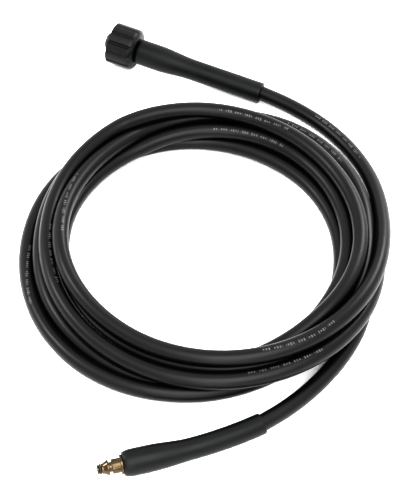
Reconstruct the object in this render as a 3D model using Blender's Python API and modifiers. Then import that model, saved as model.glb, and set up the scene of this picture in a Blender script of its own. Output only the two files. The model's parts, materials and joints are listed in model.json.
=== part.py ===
"""Pressure washer hose: a loosely coiled rubber hose with a hand nut on one end and a brass plug on the other.

Metres, +Z up. The origin is the centre of the object's footprint, on the floor that it lies on.
The hose is held as its outer shapes: one turned ring for the coil, and the two free tails.
Each end fitting is modelled along its own axis, +Z pointing out of the hose, and placed by an empty.
"""
import math

import bmesh
import bpy
from mathutils import Matrix, Vector

MM = 0.001

# Play between pieces that touch
GAP = 0.3 * MM

# Hose
HOSE_DIAMETER = 13.0 * MM
HOSE_BORE = 6.4 * MM

# Coil: strands side by side on the floor, with one strand fewer resting in their valleys
COIL_CENTRE = (0.0, -10.5 * MM)
COIL_INNER_RADIUS = 102.0 * MM
COIL_FLOOR_STRANDS = 4

# Where each end fitting's mouth lies, as a bearing about the coil and a distance clear of hose laid along it,
# and the compass of the way into its hose
NUT_END_BEARING = math.radians(109.83)
NUT_END_CLEARANCE = 75.0 * MM
NUT_END_HEADING = math.radians(-22.3)
PLUG_END_BEARING = math.radians(-104.88)
PLUG_END_CLEARANCE = 56.1 * MM
PLUG_END_HEADING = math.radians(15.0)

# How far from touching the coil each free tail still lies, at the first two points of its route
NUT_TAIL_STANDOFF = 11.8 * MM
NUT_TAIL_APPROACH = 8.7 * MM
PLUG_TAIL_STANDOFF = 12.6 * MM
PLUG_TAIL_APPROACH = 9.2 * MM

# Hand-chosen points of each free tail from its sleeve to the coil: bearing in degrees, and clearance
NUT_TAIL_ROUTE = [(63.1, NUT_TAIL_STANDOFF), (56.3, NUT_TAIL_APPROACH), (46.0, 0.0), (38.0, 0.0)]
PLUG_TAIL_ROUTE = [(-69.6, PLUG_TAIL_STANDOFF), (-65.3, PLUG_TAIL_APPROACH), (-54.0, 0.0), (-47.0, 0.0)]

# Hand nut
NUT_DIAMETER = 37.0 * MM
NUT_LENGTH = 25.0 * MM
NUT_BACK_TAPER = 5.5 * MM
NUT_BACK_DIAMETER = 27.0 * MM
NUT_RIM_CHAMFER = 1.0 * MM
NUT_THREAD_BORE = 20.4 * MM
NUT_THREAD_DEPTH = 13.0 * MM
NUT_GROOVES = 12
NUT_GROOVE_RADIUS = 2.4 * MM
NUT_GROOVE_DEPTH = 1.2 * MM

# Nipple that the hand nut turns on
SPIGOT_DIAMETER = 14.0 * MM
SPIGOT_REACH = 5.8 * MM
SPIGOT_CHAMFER = 0.8 * MM
SPIGOT_WATERWAY = 8.0 * MM
SPIGOT_WATERWAY_DEPTH = 12.0 * MM
SPIGOT_RING_SETBACK = 2.4 * MM
SPIGOT_RING_SECTION = 2.0 * MM
SPIGOT_RING_PROUD = 0.6 * MM
COLLAR_DIAMETER = 19.4 * MM
COLLAR_FRONT = 6.0 * MM
COLLAR_THICKNESS = 3.0 * MM
SHANK_DIAMETER = 15.0 * MM

# Hose tail of each fitting, pushed into the hose
TAIL_LENGTH = 24.0 * MM
TAIL_WATERWAY = 4.0 * MM
TAIL_CHAMFER = 0.6 * MM

# Brass plug, from its flange outwards
FLANGE_DIAMETER = 14.6 * MM
FLANGE_THICKNESS = 1.6 * MM
BODY_DIAMETER = 11.0 * MM
BODY_LENGTH = 6.2 * MM
NECK_DIAMETER = 7.4 * MM
NECK_LENGTH = 2.2 * MM
DISC_DIAMETER = 11.4 * MM
DISC_THICKNESS = 1.2 * MM
CONE_LENGTH = 2.9 * MM
LAND_DIAMETER = 8.0 * MM
LAND_LENGTH = 1.2 * MM
PLUG_RING_SECTION = 1.6 * MM
PLUG_RING_PROUD = 0.2 * MM
TIP_DIAMETER = 7.2 * MM
TIP_THICKNESS = 1.3 * MM
TIP_CHAMFER = 0.4 * MM
PLUG_WATERWAY = 2.8 * MM
PLUG_SHANK_DIAMETER = 10.0 * MM

# Ferrules crimped over the hose
FERRULE_LENGTH = 25.0 * MM
FERRULE_CHAMFER = 0.4 * MM
NUT_FERRULE_WALL = 2.0 * MM
PLUG_FERRULE_WALL = 1.0 * MM

# Moulded sleeves: a nose, a full-width grip over the ferrule, a taper and a slim tail
SLEEVE_LIP = 2.2 * MM
SLEEVE_SHOULDER = 17.5 * MM
SLEEVE_TAPER = 36.0 * MM
NUT_SLEEVE_SETBACK = 1.0 * MM
NUT_SLEEVE_LENGTH = 118.0 * MM
NUT_SLEEVE_DIAMETER = 22.8 * MM
NUT_SLEEVE_TAIL_DIAMETER = 18.6 * MM
NUT_SLEEVE_NOSE_DIAMETER = 21.4 * MM
NUT_SLEEVE_NOSE = 2.5 * MM
PLUG_SLEEVE_LENGTH = 107.0 * MM
PLUG_SLEEVE_DIAMETER = 20.0 * MM
PLUG_SLEEVE_TAIL_DIAMETER = 16.2 * MM
PLUG_SLEEVE_NOSE_DIAMETER = 17.0 * MM
PLUG_SLEEVE_NOSE = 5.0 * MM

# The plug's sleeve bends with its hose behind the ferrule, to the left of the way in
PLUG_BEND_START = 34.0 * MM
PLUG_BEND_RADIUS = 320.0 * MM

# A lobe's arc stops this far round from its middle, in a flat valley beside its neighbour
LOBE_REACH = math.radians(58)
# At the coil's two sides a top strand's arc dips this far, and a floor strand's stops short of its top
TOP_LOBE_DIP = math.radians(20)
FLOOR_LOBE_STOP = math.radians(10)

# Fineness of the round shapes
COIL_STEPS = 48
LOBE_STEP = math.radians(30)
TURN_STEPS = 32
GROOVE_SIDES = 12
RING_SIDES = 10
NOSE_STEPS = 4
TAPER_STEPS = 4
TAIL_STEPS = 5
ROUTE_STEPS = 40
HOSE_BEVEL_RESOLUTION = 4
SMOOTH_BELOW = math.radians(35)
MERGE_BELOW = 0.01 * MM
EMPTY_SIZE = 20.0 * MM

# Colour, roughness and metallic value of each material
FINISHES = {
    "hose_rubber": ((0.022, 0.022, 0.023), 0.42, 0.0),
    "sleeve_rubber": ((0.030, 0.030, 0.031), 0.55, 0.0),
    "nut_plastic": ((0.040, 0.040, 0.041), 0.45, 0.0),
    "seal_rubber": ((0.012, 0.012, 0.012), 0.35, 0.0),
    "brass": ((0.620, 0.430, 0.180), 0.25, 1.0),
    "ferrule_steel": ((0.520, 0.520, 0.530), 0.35, 1.0),
}

# Sizes that follow from those above
HOSE_RADIUS = HOSE_DIAMETER / 2
HOSE_TAIL_DIAMETER = HOSE_BORE - 2 * GAP
COIL_OUTER_RADIUS = COIL_INNER_RADIUS + COIL_FLOOR_STRANDS * HOSE_DIAMETER
FERRULE_BORE = HOSE_DIAMETER + 2 * GAP
NUT_SLEEVE_FRONT = NUT_LENGTH + NUT_SLEEVE_SETBACK
NUT_HOSE_FRONT = NUT_SLEEVE_FRONT + SLEEVE_LIP + 2 * GAP
PLUG_HOSE_FRONT = SLEEVE_LIP + 2 * GAP


def clear_scene():
    """Removes whatever the scene holds."""
    for thing in list(bpy.data.objects):
        bpy.data.objects.remove(thing, do_unlink=True)


def make_collection(name):
    """A collection linked to the scene."""
    collection = bpy.data.collections.new(name)
    bpy.context.scene.collection.children.link(collection)
    return collection


def make_material(name):
    """A plain surface of one of the finishes."""
    colour, roughness, metallic = FINISHES[name]
    material = bpy.data.materials.new(name)
    material.use_nodes = True
    shader = material.node_tree.nodes["Principled BSDF"]
    shader.inputs["Base Color"].default_value = (*colour, 1.0)
    shader.inputs["Roughness"].default_value = roughness
    shader.inputs["Metallic"].default_value = metallic
    return material


def evaluated_mesh(thing):
    """The object's mesh with its modifiers applied."""
    depsgraph = bpy.context.evaluated_depsgraph_get()
    return bpy.data.meshes.new_from_object(thing.evaluated_get(depsgraph))


def finish_mesh(mesh, material):
    """Smooth shading with sharp edges kept, and the piece's one material."""
    mesh.shade_smooth()
    mesh.set_sharp_from_angle(angle=SMOOTH_BELOW)
    mesh.materials.clear()
    mesh.materials.append(material)


def turned(name, profile, collection, material, steps=TURN_STEPS):
    """A closed profile of (radius, height) turned about Z. It runs down its outer side first."""
    outline = bpy.data.meshes.new(name + "_profile")
    count = len(profile)
    edges = [(k, (k + 1) % count) for k in range(count)]
    outline.from_pydata([(radius, 0.0, height) for radius, height in profile], edges, [])
    thing = bpy.data.objects.new(name, outline)
    collection.objects.link(thing)
    screw = thing.modifiers.new("turn", "SCREW")
    screw.steps = steps
    screw.render_steps = steps
    screw.use_merge_vertices = True
    screw.merge_threshold = MERGE_BELOW
    solid = evaluated_mesh(thing)
    thing.modifiers.clear()
    thing.data = solid
    bpy.data.meshes.remove(outline)
    solid.name = name
    finish_mesh(solid, material)
    return thing


def cut(thing, cutter):
    """Takes the cutter away from the thing."""
    modifier = thing.modifiers.new("cut", "BOOLEAN")
    modifier.operation = "DIFFERENCE"
    modifier.solver = "EXACT"
    modifier.object = cutter


def rod_cutter(name, places, radius, depth, sides, collection):
    """One or more rods along Z, centred on the given (x, y) places, kept as a cutter."""
    shape = bmesh.new()
    for x, y in places:
        bmesh.ops.create_cone(shape, cap_ends=True, segments=sides, radius1=radius, radius2=radius, depth=depth,
                              matrix=Matrix.Translation((x, y, 0.0)))
    mesh = bpy.data.meshes.new(name)
    shape.to_mesh(mesh)
    shape.free()
    thing = bpy.data.objects.new(name, mesh)
    thing.hide_render = True
    thing.display_type = "WIRE"
    collection.objects.link(thing)
    return thing


def beside_coil(bearing, clearance):
    """The floor place of a hose's axis, at a bearing about the coil and a clearance from touching it."""
    radius = COIL_OUTER_RADIUS + GAP + HOSE_RADIUS + clearance
    return COIL_CENTRE[0] + radius * math.cos(bearing), COIL_CENTRE[1] + radius * math.sin(bearing)


class EndAxis:
    """The axis of an end fitting: straight, then bent to the left of the way into the hose."""

    def __init__(self, place, height, heading, tilt, bend_start=math.inf, bend_radius=1.0):
        inwards = Vector((math.cos(heading) * math.cos(tilt), math.sin(heading) * math.cos(tilt), -math.sin(tilt)))
        outwards = -inwards
        right = Vector((0.0, 0.0, 1.0)).cross(outwards).normalized()
        self.matrix = Matrix((right, outwards.cross(right), outwards)).transposed().to_4x4()
        self.matrix.translation = Vector((*place, height))
        self.bend_start = bend_start
        self.bend_radius = bend_radius

    def bent(self, point):
        """A point of the straight fitting, moved to where the bend takes it."""
        turn = max(0.0, -point.z - self.bend_start) / self.bend_radius
        if turn == 0.0:
            return point.copy()
        across = point.x + self.bend_radius
        return Vector((across * math.cos(turn) - self.bend_radius, point.y,
                       -self.bend_start - across * math.sin(turn)))

    def at(self, depth):
        """The world place of the axis, a depth into the hose."""
        return self.matrix @ self.bent(Vector((0.0, 0.0, -depth)))

    def bend_mesh(self, mesh):
        """Bends a straight turned mesh with the axis."""
        for vertex in mesh.vertices:
            vertex.co = self.bent(vertex.co)


def rest_tilt(front_radius, front_depth, back_radius, back_depth):
    """The tilt that lets two rounds of a fitting both touch the floor."""
    return math.atan2(front_radius - back_radius, back_depth - front_depth)


def end_empty(name, axis, collection):
    """The empty that carries an end fitting's pieces."""
    empty = bpy.data.objects.new(name, None)
    empty.empty_display_size = EMPTY_SIZE
    collection.objects.link(empty)
    empty.matrix_world = axis.matrix
    return empty


def lobe_arc(centre, start, end):
    """Points round a strand's section, counter-clockwise."""
    pieces = math.ceil((end - start) / LOBE_STEP)
    angles = [start + (end - start) * k / pieces for k in range(pieces + 1)]
    return [(centre[0] + HOSE_RADIUS * math.cos(a), centre[1] + HOSE_RADIUS * math.sin(a)) for a in angles]


def coil_profile():
    """The outline of the coil's section: strands on the floor, and one fewer resting in their valleys."""
    up = math.pi / 2
    down = 3 * math.pi / 2
    rise = HOSE_DIAMETER * math.sin(math.pi / 3)
    first = COIL_INNER_RADIUS + HOSE_RADIUS
    floor_row = [(first + k * HOSE_DIAMETER, HOSE_RADIUS) for k in range(COIL_FLOOR_STRANDS)]
    top_row = [(first + HOSE_RADIUS + k * HOSE_DIAMETER, HOSE_RADIUS + rise) for k in range(COIL_FLOOR_STRANDS - 1)]
    outline = []
    for centre in reversed(top_row):
        start = -TOP_LOBE_DIP if centre == top_row[-1] else up - LOBE_REACH
        end = math.pi + TOP_LOBE_DIP if centre == top_row[0] else up + LOBE_REACH
        outline += lobe_arc(centre, start, end)
    for centre in floor_row:
        start = up + FLOOR_LOBE_STOP if centre == floor_row[0] else down - LOBE_REACH
        end = 2 * math.pi + up - FLOOR_LOBE_STOP if centre == floor_row[-1] else down + LOBE_REACH
        outline += lobe_arc(centre, start, end)
    outline.reverse()
    return outline


def build_coil(collection, material):
    """The coil as one turned ring, with its turns showing as lobes."""
    coil = turned("hose_coil", coil_profile(), collection, material, COIL_STEPS)
    coil.location = (*COIL_CENTRE, 0.0)
    return coil


def curve_through(points, spacing):
    """Evenly spaced points on a smooth curve through the given ones."""
    ends = [2 * points[0] - points[1], *points, 2 * points[-1] - points[-2]]
    fine = []
    for a, b, c, d in zip(ends, ends[1:], ends[2:], ends[3:]):
        for k in range(ROUTE_STEPS):
            t = k / ROUTE_STEPS
            fine.append(0.5 * (2 * b + (c - a) * t + (2 * a - 5 * b + 4 * c - d) * t * t
                               + (3 * b - a - 3 * c + d) * t * t * t))
    fine.append(points[-1])
    lengths = [0.0]
    for a, b in zip(fine, fine[1:]):
        lengths.append(lengths[-1] + (b - a).length)
    count = round(lengths[-1] / spacing)
    goals = [lengths[-1] * k / count for k in range(count)]
    return [fine[next(i for i, length in enumerate(lengths) if length >= goal)] for goal in goals] + [fine[-1]]


def hose_along(name, points, collection, material):
    """A length of hose along a smooth curve through the points, as one closed mesh."""
    curve = bpy.data.curves.new(name, "CURVE")
    curve.dimensions = "3D"
    curve.bevel_depth = HOSE_RADIUS
    curve.bevel_resolution = HOSE_BEVEL_RESOLUTION
    curve.use_fill_caps = True
    picked = curve_through(points, HOSE_DIAMETER)
    spline = curve.splines.new("POLY")
    spline.points.add(len(picked) - 1)
    for point, place in zip(spline.points, picked):
        point.co = (*place, 1.0)
    drawn = bpy.data.objects.new(name + "_curve", curve)
    collection.objects.link(drawn)
    mesh = evaluated_mesh(drawn)
    bpy.data.objects.remove(drawn, do_unlink=True)
    shape = bmesh.new()
    shape.from_mesh(mesh)
    bmesh.ops.remove_doubles(shape, verts=shape.verts, dist=MERGE_BELOW)
    shape.to_mesh(mesh)
    shape.free()
    finish_mesh(mesh, material)
    mesh.name = name
    hose = bpy.data.objects.new(name, mesh)
    collection.objects.link(hose)
    return hose


def build_tail(name, axis, hose_front, sleeve_end, route, collection, cutters, material):
    """A free tail of hose: through its sleeve, then along its route to the coil, bored where the fitting enters."""
    depths = [hose_front + (sleeve_end - hose_front) * k / TAIL_STEPS for k in range(TAIL_STEPS + 1)]
    points = [axis.at(depth) for depth in depths]
    for bearing, clearance in route:
        points.append(Vector((*beside_coil(math.radians(bearing), clearance), HOSE_RADIUS + GAP)))
    tail = hose_along(name, points, collection, material)
    bore = rod_cutter(name + "_bore", [(0.0, 0.0)], HOSE_BORE / 2, 2 * (TAIL_LENGTH + 2 * GAP), TURN_STEPS, cutters)
    bore.matrix_world = axis.matrix @ Matrix.Translation((0.0, 0.0, -hose_front))
    cut(tail, bore)
    return tail


def build_ring(name, ring_radius, section, height, empty, collection, material):
    """An O-ring about the fitting's axis."""
    middle = ring_radius - section / 2
    angles = [-2 * math.pi * k / RING_SIDES for k in range(RING_SIDES)]
    profile = [(middle + section / 2 * math.cos(a), height + section / 2 * math.sin(a)) for a in angles]
    ring = turned(name, profile, collection, material)
    ring.parent = empty
    return ring


def ring_groove(ring_radius, section, height):
    """The two floor points of an O-ring's groove, top to bottom."""
    floor = ring_radius - section - GAP
    half = section / 2 + GAP
    return [(floor, height + half), (floor, height - half)]


def build_hand_nut(empty, collection, cutters, material):
    """The grooved hand nut, slid back on its shank, with its mouth at z = 0."""
    outer = NUT_DIAMETER / 2
    back = NUT_BACK_DIAMETER / 2
    shank_bore = SHANK_DIAMETER / 2 + GAP
    shoulder = -NUT_LENGTH + NUT_BACK_TAPER
    nose = [(back + (outer - back) * math.sin(a), shoulder - NUT_BACK_TAPER * (1 - math.cos(a - math.pi / 2)))
            for a in [math.pi / 2 * (1 - k / NOSE_STEPS) for k in range(1, NOSE_STEPS)]]
    profile = [(outer - NUT_RIM_CHAMFER, 0.0), (outer, -NUT_RIM_CHAMFER), (outer, shoulder), *nose,
               (back, -NUT_LENGTH), (shank_bore, -NUT_LENGTH), (shank_bore, -NUT_THREAD_DEPTH),
               (NUT_THREAD_BORE / 2, -NUT_THREAD_DEPTH), (NUT_THREAD_BORE / 2, 0.0)]
    nut = turned("hand_nut", profile, collection, material, 4 * NUT_GROOVES)
    nut.parent = empty
    reach = outer + NUT_GROOVE_RADIUS - NUT_GROOVE_DEPTH
    turns = [2 * math.pi * (k + 0.5) / NUT_GROOVES for k in range(NUT_GROOVES)]
    places = [(reach * math.cos(a), reach * math.sin(a)) for a in turns]
    grooves = rod_cutter("nut_grooves", places, NUT_GROOVE_RADIUS, 3 * NUT_LENGTH, GROOVE_SIDES, cutters)
    grooves.parent = empty
    cut(nut, grooves)
    return nut


def hose_tail_profile(front, waterway):
    """The part of a fitting that goes into the hose, from its root down and back up the waterway."""
    outer = HOSE_TAIL_DIAMETER / 2
    end = front - TAIL_LENGTH
    return [(outer, front), (outer, end + TAIL_CHAMFER), (outer - TAIL_CHAMFER, end), (waterway / 2, end)]


def build_nipple(empty, collection, material):
    """The brass nipple: a spigot for the mating socket, a collar that the nut draws up, a shank and a hose tail."""
    spigot = SPIGOT_DIAMETER / 2
    waterway = SPIGOT_WATERWAY / 2
    throat = SPIGOT_REACH - SPIGOT_WATERWAY_DEPTH
    ring_height = SPIGOT_REACH - SPIGOT_RING_SETBACK
    groove = ring_groove(spigot + SPIGOT_RING_PROUD, SPIGOT_RING_SECTION, ring_height)
    shank_end = -NUT_HOSE_FRONT + GAP
    profile = [(spigot - SPIGOT_CHAMFER, SPIGOT_REACH), (spigot, SPIGOT_REACH - SPIGOT_CHAMFER),
               (spigot, groove[0][1]), *groove, (spigot, groove[1][1]), (spigot, -COLLAR_FRONT),
               (COLLAR_DIAMETER / 2, -COLLAR_FRONT), (COLLAR_DIAMETER / 2, -COLLAR_FRONT - COLLAR_THICKNESS),
               (SHANK_DIAMETER / 2, -COLLAR_FRONT - COLLAR_THICKNESS), (SHANK_DIAMETER / 2, shank_end),
               *hose_tail_profile(shank_end, TAIL_WATERWAY), (TAIL_WATERWAY / 2, throat), (waterway, throat),
               (waterway, SPIGOT_REACH)]
    nipple = turned("nut_nipple", profile, collection, material)
    nipple.parent = empty
    return nipple


def plug_heights():
    """The heights of the plug's steps, from the back of its flange to its tip."""
    heights = [GAP]
    for step in (FLANGE_THICKNESS, BODY_LENGTH, NECK_LENGTH, DISC_THICKNESS, CONE_LENGTH, LAND_LENGTH,
                 PLUG_RING_SECTION + 2 * GAP, TIP_THICKNESS):
        heights.append(heights[-1] + step)
    return heights


def build_plug(empty, collection, brass, seal):
    """The brass plug that clicks into the gun: flange, body, latch groove, coned disc, seal land and tip."""
    flange_back, flange_front, body_front, neck_front, disc_front, cone_front, land_front, groove_front, tip = \
        plug_heights()
    land = LAND_DIAMETER / 2
    ring_height = (land_front + groove_front) / 2
    groove = ring_groove(land + PLUG_RING_PROUD, PLUG_RING_SECTION, ring_height)
    shank_end = -PLUG_HOSE_FRONT + GAP
    profile = [(TIP_DIAMETER / 2 - TIP_CHAMFER, tip), (TIP_DIAMETER / 2, tip - TIP_CHAMFER),
               (TIP_DIAMETER / 2, groove_front), *groove, (land, land_front), (land, cone_front),
               (DISC_DIAMETER / 2, disc_front), (DISC_DIAMETER / 2, neck_front), (NECK_DIAMETER / 2, neck_front),
               (NECK_DIAMETER / 2, body_front), (BODY_DIAMETER / 2, body_front), (BODY_DIAMETER / 2, flange_front),
               (FLANGE_DIAMETER / 2, flange_front), (FLANGE_DIAMETER / 2, flange_back),
               (PLUG_SHANK_DIAMETER / 2, flange_back), (PLUG_SHANK_DIAMETER / 2, shank_end),
               *hose_tail_profile(shank_end, PLUG_WATERWAY), (PLUG_WATERWAY / 2, tip)]
    plug = turned("quick_plug", profile, collection, brass)
    plug.parent = empty
    build_ring("plug_o_ring", land + PLUG_RING_PROUD, PLUG_RING_SECTION, ring_height, empty, collection, seal)
    return plug


def build_ferrule(name, hose_front, wall, empty, collection, material):
    """The steel ferrule that holds the hose on its tail."""
    inner = FERRULE_BORE / 2
    outer = inner + wall
    top = -hose_front
    bottom = top - FERRULE_LENGTH
    profile = [(outer - FERRULE_CHAMFER, top), (outer, top - FERRULE_CHAMFER), (outer, bottom + FERRULE_CHAMFER),
               (outer - FERRULE_CHAMFER, bottom), (inner, bottom), (inner, top)]
    ferrule = turned(name, profile, collection, material)
    ferrule.parent = empty
    return ferrule


def sleeve_outside(front, length, nose, nose_radius, grip_radius, slim_radius):
    """A sleeve's outer side, front to back: rounded nose, grip, smooth taper and slim tail."""
    outer = []
    for k in range(NOSE_STEPS + 1):
        a = math.pi / 2 * k / NOSE_STEPS
        outer.append((nose_radius + (grip_radius - nose_radius) * math.sin(a), -front - nose * (1 - math.cos(a))))
    for k in range(TAPER_STEPS + 1):
        t = k / TAPER_STEPS
        outer.append((grip_radius + (slim_radius - grip_radius) * (1 - math.cos(math.pi * t)) / 2,
                      -front - SLEEVE_SHOULDER - SLEEVE_TAPER * t))
    taper_end = SLEEVE_SHOULDER + SLEEVE_TAPER
    for k in range(1, TAIL_STEPS + 1):
        outer.append((slim_radius, -front - taper_end - (length - taper_end) * k / TAIL_STEPS))
    return outer


def sleeve_inside(front, length, lip_bore, ferrule_wall):
    """A sleeve's inner side, back to front: hose bore, ferrule pocket and lip."""
    hose_bore = FERRULE_BORE / 2
    ferrule_bore = hose_bore + ferrule_wall + GAP
    pocket_front = -front - SLEEVE_LIP
    pocket_back = pocket_front - 3 * GAP - FERRULE_LENGTH
    back = -front - length
    inner = [(hose_bore, back + (pocket_back - back) * k / TAIL_STEPS) for k in range(TAIL_STEPS + 1)]
    return inner + [(ferrule_bore, pocket_back), (ferrule_bore, pocket_front), (lip_bore / 2, pocket_front),
                    (lip_bore / 2, -front)]


def build_sleeve(name, profile, axis, empty, collection, material):
    """A moulded sleeve, bent with its axis."""
    sleeve = turned(name, profile, collection, material)
    axis.bend_mesh(sleeve.data)
    sleeve.parent = empty
    return sleeve


def build_nut_end(collection, cutters, materials):
    """The hose end with the hand nut."""
    sleeve_end = NUT_SLEEVE_FRONT + NUT_SLEEVE_LENGTH
    rim_depth = NUT_LENGTH - NUT_BACK_TAPER
    tilt = rest_tilt(NUT_DIAMETER / 2, rim_depth, NUT_SLEEVE_TAIL_DIAMETER / 2, sleeve_end)
    height = NUT_DIAMETER / 2 * math.cos(tilt) + rim_depth * math.sin(tilt)
    axis = EndAxis(beside_coil(NUT_END_BEARING, NUT_END_CLEARANCE), height, NUT_END_HEADING, tilt)
    empty = end_empty("nut_end", axis, collection)
    build_hand_nut(empty, collection, cutters, materials["nut_plastic"])
    build_nipple(empty, collection, materials["brass"])
    build_ring("nipple_o_ring", SPIGOT_DIAMETER / 2 + SPIGOT_RING_PROUD, SPIGOT_RING_SECTION,
               SPIGOT_REACH - SPIGOT_RING_SETBACK, empty, collection, materials["seal_rubber"])
    build_ferrule("nut_ferrule", NUT_HOSE_FRONT, NUT_FERRULE_WALL, empty, collection, materials["ferrule_steel"])
    outside = sleeve_outside(NUT_SLEEVE_FRONT, NUT_SLEEVE_LENGTH, NUT_SLEEVE_NOSE, NUT_SLEEVE_NOSE_DIAMETER / 2,
                             NUT_SLEEVE_DIAMETER / 2, NUT_SLEEVE_TAIL_DIAMETER / 2)
    inside = sleeve_inside(NUT_SLEEVE_FRONT, NUT_SLEEVE_LENGTH, SHANK_DIAMETER + 2 * GAP, NUT_FERRULE_WALL)
    build_sleeve("nut_sleeve", outside + inside, axis, empty, collection, materials["sleeve_rubber"])
    build_tail("hose_tail_nut", axis, NUT_HOSE_FRONT, sleeve_end, NUT_TAIL_ROUTE, collection, cutters,
               materials["hose_rubber"])


def build_plug_end(collection, cutters, materials):
    """The hose end with the brass plug."""
    tilt = rest_tilt(PLUG_SLEEVE_DIAMETER / 2, SLEEVE_SHOULDER, PLUG_SLEEVE_TAIL_DIAMETER / 2, PLUG_SLEEVE_LENGTH)
    height = PLUG_SLEEVE_DIAMETER / 2 * math.cos(tilt) + SLEEVE_SHOULDER * math.sin(tilt)
    axis = EndAxis(beside_coil(PLUG_END_BEARING, PLUG_END_CLEARANCE), height, PLUG_END_HEADING, tilt,
                   PLUG_BEND_START, PLUG_BEND_RADIUS)
    empty = end_empty("plug_end", axis, collection)
    build_plug(empty, collection, materials["brass"], materials["seal_rubber"])
    build_ferrule("plug_ferrule", PLUG_HOSE_FRONT, PLUG_FERRULE_WALL, empty, collection, materials["ferrule_steel"])
    outside = sleeve_outside(0.0, PLUG_SLEEVE_LENGTH, PLUG_SLEEVE_NOSE, PLUG_SLEEVE_NOSE_DIAMETER / 2,
                             PLUG_SLEEVE_DIAMETER / 2, PLUG_SLEEVE_TAIL_DIAMETER / 2)
    inside = sleeve_inside(0.0, PLUG_SLEEVE_LENGTH, PLUG_SHANK_DIAMETER + 2 * GAP, PLUG_FERRULE_WALL)
    build_sleeve("plug_sleeve", outside + inside, axis, empty, collection, materials["sleeve_rubber"])
    build_tail("hose_tail_plug", axis, PLUG_HOSE_FRONT, PLUG_SLEEVE_LENGTH, PLUG_TAIL_ROUTE, collection, cutters,
               materials["hose_rubber"])


def main():
    """Builds every piece."""
    clear_scene()
    collection = make_collection("pressure_washer_hose")
    cutters = make_collection("cutters")
    materials = {name: make_material(name) for name in FINISHES}
    build_coil(collection, materials["hose_rubber"])
    build_nut_end(collection, cutters, materials)
    build_plug_end(collection, cutters, materials)


main()
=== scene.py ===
"""Looks of a coiled pressure washer hose, with a hand nut on one end and a brass plug on the other.

Every object is in metres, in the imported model's frame, +Z up, lying on the floor at z = 0. Each end fitting
is shaped along its own axis, +Z pointing out of the hose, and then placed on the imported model's axis.
"""
import json
import logging
import math
from dataclasses import dataclass
from enum import Enum
from typing import Any, Dict, List, Optional, Sequence, Tuple

import bmesh
import bpy
import numpy as np
from bmesh.types import BMesh
from bpy.types import Material, Node, NodeSocket, NodeTree, Object
from mathutils import Matrix, Vector


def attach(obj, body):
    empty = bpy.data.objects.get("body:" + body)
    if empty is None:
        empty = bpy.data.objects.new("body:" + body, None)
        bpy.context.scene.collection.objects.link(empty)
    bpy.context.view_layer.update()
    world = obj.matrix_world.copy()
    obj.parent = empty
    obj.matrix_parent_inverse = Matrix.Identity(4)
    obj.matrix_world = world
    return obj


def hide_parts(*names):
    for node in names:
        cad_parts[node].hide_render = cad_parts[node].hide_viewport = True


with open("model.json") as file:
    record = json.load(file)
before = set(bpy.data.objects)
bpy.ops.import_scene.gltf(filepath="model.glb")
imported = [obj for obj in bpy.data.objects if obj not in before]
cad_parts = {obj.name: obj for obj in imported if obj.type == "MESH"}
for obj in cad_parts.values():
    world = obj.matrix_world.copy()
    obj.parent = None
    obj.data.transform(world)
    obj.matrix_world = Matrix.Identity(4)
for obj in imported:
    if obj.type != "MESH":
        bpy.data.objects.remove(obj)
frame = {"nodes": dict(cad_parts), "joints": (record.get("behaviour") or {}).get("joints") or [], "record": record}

LOG = logging.getLogger("pressure_hose")
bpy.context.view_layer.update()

MM = 0.001
TURN = 2 * math.pi
GAP = 0.3 * MM
MERGE = 0.001 * MM
BEVELLED_FROM = math.radians(25)
SHARP_FROM = math.radians(38)
Pair = Tuple[float, float]
Pairs = Tuple[Pair, ...]
Triple = Tuple[float, float, float]
Profile = List[Pair]


class Body(Enum):
    """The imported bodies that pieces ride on."""

    HOSE = "hose"
    NUT = "nut"


class Slot(Enum):
    """The record's material slots."""

    HOSE_RUBBER = "hose_rubber"
    SLEEVE_RUBBER = "sleeve_rubber"
    NUT_PLASTIC = "nut_plastic"
    SEAL_RUBBER = "seal_rubber"
    BRASS = "brass"
    FERRULE_STEEL = "ferrule_steel"


# Colours and nodes

def linear(hex_colour: str) -> Tuple[float, float, float, float]:
    """Turns an sRGB hex colour into the linear values that shaders take.

    Args:
        hex_colour: The colour as six hex digits.

    Returns:
        Red, green, blue and an alpha of 1.
    """
    channels = [int(hex_colour[k:k + 2], 16) / 255 for k in (0, 2, 4)]
    light = [c / 12.92 if c <= 0.04045 else ((c + 0.055) / 1.055) ** 2.4 for c in channels]
    return light[0], light[1], light[2], 1.0


def set_inputs(node: Node, inputs: Dict[Any, Any]) -> None:
    """Fills a node's inputs.

    Args:
        node: The node.
        inputs: What goes into each input, by its name or number: another node's output, or a value.
    """
    for key, value in inputs.items():
        if isinstance(value, NodeSocket):
            node.id_data.links.new(value, node.inputs[key])
        else:
            node.inputs[key].default_value = value


def add_node(tree: NodeTree, kind: str, inputs: Optional[Dict[Any, Any]] = None, take: Any = 0,
             **settings: Any) -> NodeSocket:
    """Adds a node with its settings and inputs.

    Args:
        tree: The node tree that takes the node.
        kind: Blender's name of the node's type.
        inputs: What goes into its inputs.
        take: The name or number of the output to return.
        **settings: The node's own properties.

    Returns:
        The new node's output.
    """
    node = tree.nodes.new(kind)
    for name, value in settings.items():
        setattr(node, name, value)
    set_inputs(node, inputs or {})
    return node.outputs[take]


def maths(tree: NodeTree, operation: str, *values: Any) -> NodeSocket:
    """Adds a math node. Each value is a number or another node's output."""
    return add_node(tree, "ShaderNodeMath", dict(enumerate(values)), operation=operation)


def noise(tree: NodeTree, place: NodeSocket, scale: float, detail: float = 2.0) -> NodeSocket:
    """Adds a cloudy noise at a place, from 0 to 1."""
    return add_node(tree, "ShaderNodeTexNoise", {"Vector": place, "Scale": scale, "Detail": detail})


def mixed(tree: NodeTree, share: NodeSocket, first: Any, second: Any) -> NodeSocket:
    """Adds a mix of two colours by the second one's share. Each is linear values or a node's output."""
    return add_node(tree, "ShaderNodeMix", {"Factor": share, "A": first, "B": second}, "Result",
                    data_type="RGBA")


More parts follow.
